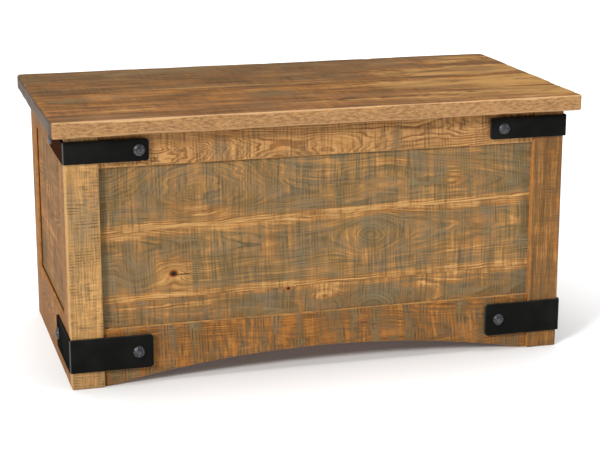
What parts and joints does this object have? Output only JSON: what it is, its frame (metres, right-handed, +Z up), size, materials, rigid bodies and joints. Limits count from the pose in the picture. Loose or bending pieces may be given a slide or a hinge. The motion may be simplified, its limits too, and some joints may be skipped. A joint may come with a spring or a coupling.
{
  "type": "wooden chest",
  "caption": "Frame-and-panel storage chest with an overhanging plank lid on butt hinges and slotted stays, an arched front rail and bolted black steel corner straps.",
  "frame": {"origin": "on the floor, under the middle of the chest's bounding box", "axes": "+X along the chest towards its right end, +Y from front to back, +Z up; the front faces -Y"},
  "size_m": [1.067, 0.5594, 0.535],
  "materials": {
    "stile_wood": "rough-sawn, light honey brown, low gloss",
    "rail_wood": "rough-sawn, warm orange brown with dark saw marks, low gloss",
    "panel_wood": "rough-sawn, grey-olive weathering over honey brown, low gloss",
    "lid_wood": "brushed brown planks with long grain streaks, low gloss",
    "cedar": "plain planed cedar, unfinished",
    "black_steel": "satin black",
    "bolt_steel": "hammered dark grey",
    "zinc_steel": "zinc plated",
    "hinge_brass": "antique brass",
    "bumper_rubber": "soft translucent grey"
  },
  "bodies": {
    "case": {"front_left_stile": "stile_wood", "front_right_stile": "stile_wood", "front_top_rail": "rail_wood", "front_arched_rail": "rail_wood", "front_panel_upper_board": "panel_wood", "front_panel_middle_board": "panel_wood", "front_panel_lower_board": "panel_wood", "left_front_stile": "stile_wood", "left_rear_stile": "stile_wood", "left_top_rail": "rail_wood", "left_bottom_rail": "rail_wood", "left_panel": "panel_wood", "right_front_stile": "stile_wood", "right_rear_stile": "stile_wood", "right_top_rail": "rail_wood", "right_bottom_rail": "rail_wood", "right_panel": "panel_wood", "back_top_rail": "rail_wood", "back_bottom_rail": "rail_wood", "back_panel_upper_board": "panel_wood", "back_panel_lower_board": "panel_wood", "bottom_board_1": "cedar", "bottom_board_2": "cedar", "bottom_board_3": "cedar", "bottom_board_4": "cedar", "front_cleat": "cedar", "back_cleat": "cedar", "left_cleat": "cedar", "right_cleat": "cedar", "cleat_screws": "zinc_steel", "top_left_strap": "black_steel", "top_right_strap": "black_steel", "bottom_left_strap": "black_steel", "bottom_right_strap": "black_steel", "strap_bolts": "bolt_steel", "strap_washers": "zinc_steel", "strap_nuts": "zinc_steel", "left_hinge_case_leaf": "hinge_brass", "right_hinge_case_leaf": "hinge_brass", "hinge_pins": "hinge_brass", "hinge_case_screws": "hinge_brass", "stay_case_screws": "zinc_steel", "lid_bumpers": "bumper_rubber"},
    "lid": {"lid_board_1": "lid_wood", "lid_board_2": "lid_wood", "lid_board_3": "lid_wood", "lid_board_4": "lid_wood", "left_lid_batten": "lid_wood", "middle_lid_batten": "lid_wood", "right_lid_batten": "lid_wood", "batten_screws": "zinc_steel", "left_hinge_lid_leaf": "hinge_brass", "right_hinge_lid_leaf": "hinge_brass", "lid_hardware_screws": "hinge_brass", "left_stay_bracket": "hinge_brass", "right_stay_bracket": "hinge_brass", "stay_rivets": "zinc_steel"},
    "left_stay": {"left_stay_arm": "hinge_brass"},
    "right_stay": {"right_stay_arm": "hinge_brass"}
  },
  "joints": [
    {"name": "lid_hinge", "type": "hinge", "parent": "case", "child": "lid", "pos_m": [0, 0.27525, 0.502], "axis": [-1, 0, 0], "range_deg": [0, 95]},
    {"name": "left_stay_pivot", "type": "hinge", "parent": "lid", "child": "left_stay", "pos_m": [-0.4835, 0.1259, 0.488], "axis": [-1, 0, 0], "range_deg": [-47.5, 0]},
    {"name": "right_stay_pivot", "type": "hinge", "parent": "lid", "child": "right_stay", "pos_m": [0.4835, 0.1259, 0.488], "axis": [-1, 0, 0], "range_deg": [-47.5, 0]}
  ],
  "couplings": [
    {"joint": "left_stay_pivot", "follows": "lid_hinge", "ratio": -0.5},
    {"joint": "right_stay_pivot", "follows": "lid_hinge", "ratio": -0.5}
  ]
}
